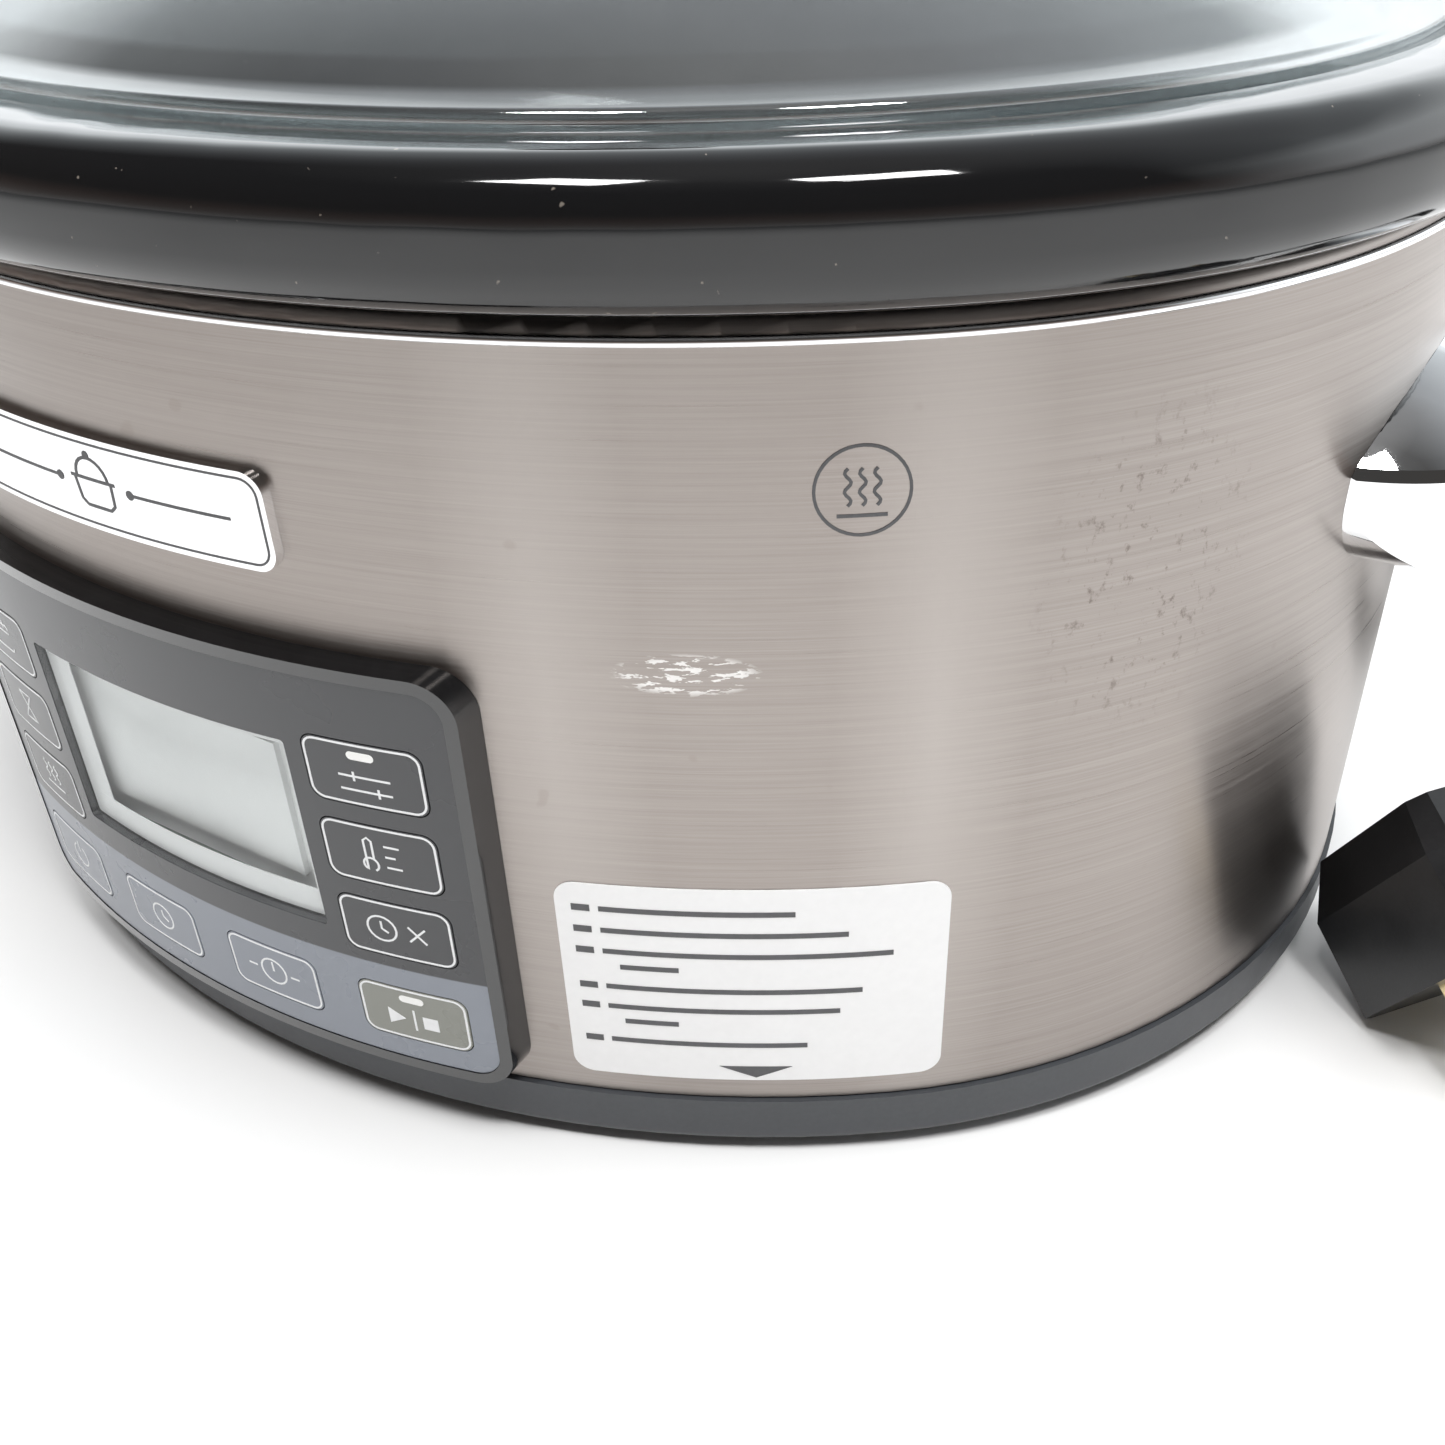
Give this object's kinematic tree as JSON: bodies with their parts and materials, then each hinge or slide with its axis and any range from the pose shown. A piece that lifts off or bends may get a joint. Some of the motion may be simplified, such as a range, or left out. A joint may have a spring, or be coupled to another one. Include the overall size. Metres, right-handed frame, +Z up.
{
  "type": "slow cooker",
  "caption": "Oval electric slow cooker with brushed steel wall, lift-out glazed pot, domed glass lid, curved key panel, side handles and a mains cord.",
  "frame": {"origin": "on the table under the middle of the oval housing", "axes": "+Z up, +X along the oval's length through both handles, the control panel faces -Y"},
  "size_m": [0.495, 0.3797, 0.2636],
  "materials": {
    "brushed_steel": "brushed along the wall",
    "base_plastic": "fine matt",
    "foot_rubber": "matt",
    "screw_steel": "plain zinc",
    "well_metal": "drawn sheet",
    "heater_wrap": "woven glass tape",
    "circuit_board": "satin",
    "component_black": "matt",
    "relay_case": "satin",
    "nylon_white": "satin",
    "cell_steel": "bright",
    "display_grey": "satin",
    "bezel_black": "gloss",
    "face_charcoal": "satin film",
    "window_clear": "clear",
    "bright_chrome": "mirror",
    "label_white": "satin",
    "pot_glaze": "gloss glaze",
    "lid_glass": "clear tempered",
    "knob_black": "satin gloss",
    "cord_black": "satin PVC",
    "tie_black": "matt",
    "pin_brass": "bright",
    "fuse_grey": "matt"
  },
  "bodies": {
    "housing": {"outer_shell": "brushed_steel", "base_ring": "base_plastic", "bottom_cover": "base_plastic", "rubber_feet": "foot_rubber", "cover_screws": "screw_steel", "heating_well": "well_metal", "well_posts": "screw_steel", "heater_band": "heater_wrap", "band_clamp": "screw_steel", "thermal_fuse": "heater_wrap", "temperature_sensor": "well_metal", "power_board": "circuit_board", "transformer": "component_black", "relay": "relay_case", "buzzer": "component_black", "board_standoffs": "nylon_white", "terminal_block": "nylon_white", "control_board": "circuit_board", "key_switches": "component_black", "battery_holder": "component_black", "coin_cell": "cell_steel", "lcd_module": "display_grey", "panel_bezel": "bezel_black", "panel_face": "face_charcoal", "display_window": "window_clear", "panel_screws": "screw_steel", "badge_plate": "bright_chrome", "info_label": "label_white", "handle_left": "bright_chrome", "handle_right": "bright_chrome", "handle_core_left": "bezel_black", "handle_core_right": "bezel_black", "handle_screws": "screw_steel", "strain_relief": "foot_rubber", "cord_tail": "cord_black", "cord_coil": "cord_black", "cord_lead": "cord_black", "cord_tie": "tie_black", "plug_body": "cord_black", "plug_pins": "pin_brass", "plug_fuse_cover": "fuse_grey"},
    "pot": {"stoneware_pot": "pot_glaze"},
    "lid": {"lid_glass": "lid_glass", "lid_knob": "knob_black", "knob_washer": "foot_rubber", "knob_screw": "screw_steel"},
    "key_left_1": {"key_left_1": "face_charcoal"},
    "key_left_2": {"key_left_2": "face_charcoal"},
    "key_left_3": {"key_left_3": "face_charcoal"},
    "key_right_1": {"key_right_1": "face_charcoal"},
    "key_right_2": {"key_right_2": "face_charcoal"},
    "key_right_3": {"key_right_3": "face_charcoal"},
    "key_row_1": {"key_row_1": "face_charcoal"},
    "key_row_2": {"key_row_2": "face_charcoal"},
    "key_row_3": {"key_row_3": "face_charcoal"},
    "key_row_4": {"key_row_4": "face_charcoal"}
  },
  "joints": [
    {"name": "pot_lift", "type": "slide", "parent": "housing", "child": "pot", "axis": [0, 0, 1], "range_m": [0, 0.16]},
    {"name": "lid_lift", "type": "slide", "parent": "pot", "child": "lid", "axis": [0, 0, 1], "range_m": [0, 0.1]},
    {"name": "key_left_1_press", "type": "slide", "parent": "housing", "child": "key_left_1", "axis": [0.2243, 0.9745, 0], "range_m": [0, 0.0005], "stiffness_N_per_m": 900},
    {"name": "key_left_2_press", "type": "slide", "parent": "housing", "child": "key_left_2", "axis": [0.2243, 0.9745, 0], "range_m": [0, 0.0005], "stiffness_N_per_m": 900},
    {"name": "key_left_3_press", "type": "slide", "parent": "housing", "child": "key_left_3", "axis": [0.2243, 0.9745, 0], "range_m": [0, 0.0005], "stiffness_N_per_m": 900},
    {"name": "key_right_1_press", "type": "slide", "parent": "housing", "child": "key_right_1", "axis": [-0.2243, 0.9745, 0], "range_m": [0, 0.0005], "stiffness_N_per_m": 900},
    {"name": "key_right_2_press", "type": "slide", "parent": "housing", "child": "key_right_2", "axis": [-0.2243, 0.9745, 0], "range_m": [0, 0.0005], "stiffness_N_per_m": 900},
    {"name": "key_right_3_press", "type": "slide", "parent": "housing", "child": "key_right_3", "axis": [-0.2243, 0.9745, 0], "range_m": [0, 0.0005], "stiffness_N_per_m": 900},
    {"name": "key_row_1_press", "type": "slide", "parent": "housing", "child": "key_row_1", "axis": [0.2243, 0.9745, 0], "range_m": [0, 0.0005], "stiffness_N_per_m": 900},
    {"name": "key_row_2_press", "type": "slide", "parent": "housing", "child": "key_row_2", "axis": [0.0748, 0.9972, 0], "range_m": [0, 0.0005], "stiffness_N_per_m": 900},
    {"name": "key_row_3_press", "type": "slide", "parent": "housing", "child": "key_row_3", "axis": [-0.0748, 0.9972, 0], "range_m": [0, 0.0005], "stiffness_N_per_m": 900},
    {"name": "key_row_4_press", "type": "slide", "parent": "housing", "child": "key_row_4", "axis": [-0.2243, 0.9745, 0], "range_m": [0, 0.0005], "stiffness_N_per_m": 900}
  ]
}
